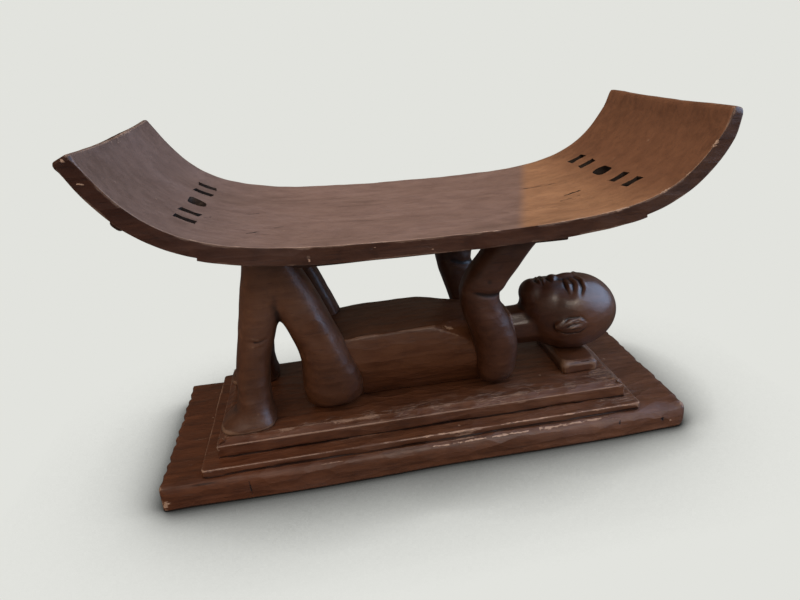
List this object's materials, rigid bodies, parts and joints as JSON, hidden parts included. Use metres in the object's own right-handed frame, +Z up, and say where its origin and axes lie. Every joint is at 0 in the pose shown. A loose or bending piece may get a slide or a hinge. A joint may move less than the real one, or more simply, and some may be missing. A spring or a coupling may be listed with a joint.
{
  "type": "carved figure stool",
  "caption": "Long curved wooden seat carried on the raised knees and hands of a carved figure lying on its back on a stepped base.",
  "frame": {"origin": "middle of the flat underside of the base, on the ground", "axes": "+X along the seat towards the figure's head, +Y away from the viewer towards the figure's right side, +Z up"},
  "size_m": [0.6339, 0.2816, 0.3818],
  "materials": {
    "seat_wood": "red-brown stained hardwood, worn smooth and waxed",
    "figure_wood": "dark red-brown stained hardwood, satin, soft tool facets",
    "base_wood": "dark red-brown stained hardwood, satin, chisel marks",
    "peg_wood": "plain unstained hardwood dowel"
  },
  "bodies": {
    "root": {"base_slab": "base_wood", "base_middle_step": "base_wood", "base_plinth": "base_wood", "headrest": "figure_wood", "torso": "figure_wood", "head": "figure_wood", "left_leg": "figure_wood", "right_leg": "figure_wood", "left_arm": "figure_wood", "right_arm": "figure_wood", "seat": "seat_wood", "seat_underplate": "seat_wood", "left_end_rib": "seat_wood", "right_end_rib": "seat_wood", "base_pegs": "peg_wood", "torso_pegs": "peg_wood", "foot_pegs": "peg_wood", "headrest_pegs": "peg_wood", "hip_peg": "peg_wood", "shoulder_peg": "peg_wood", "neck_peg": "peg_wood", "knee_pegs": "peg_wood", "hand_pegs": "peg_wood", "underplate_pegs": "peg_wood"}
  },
  "joints": []
}
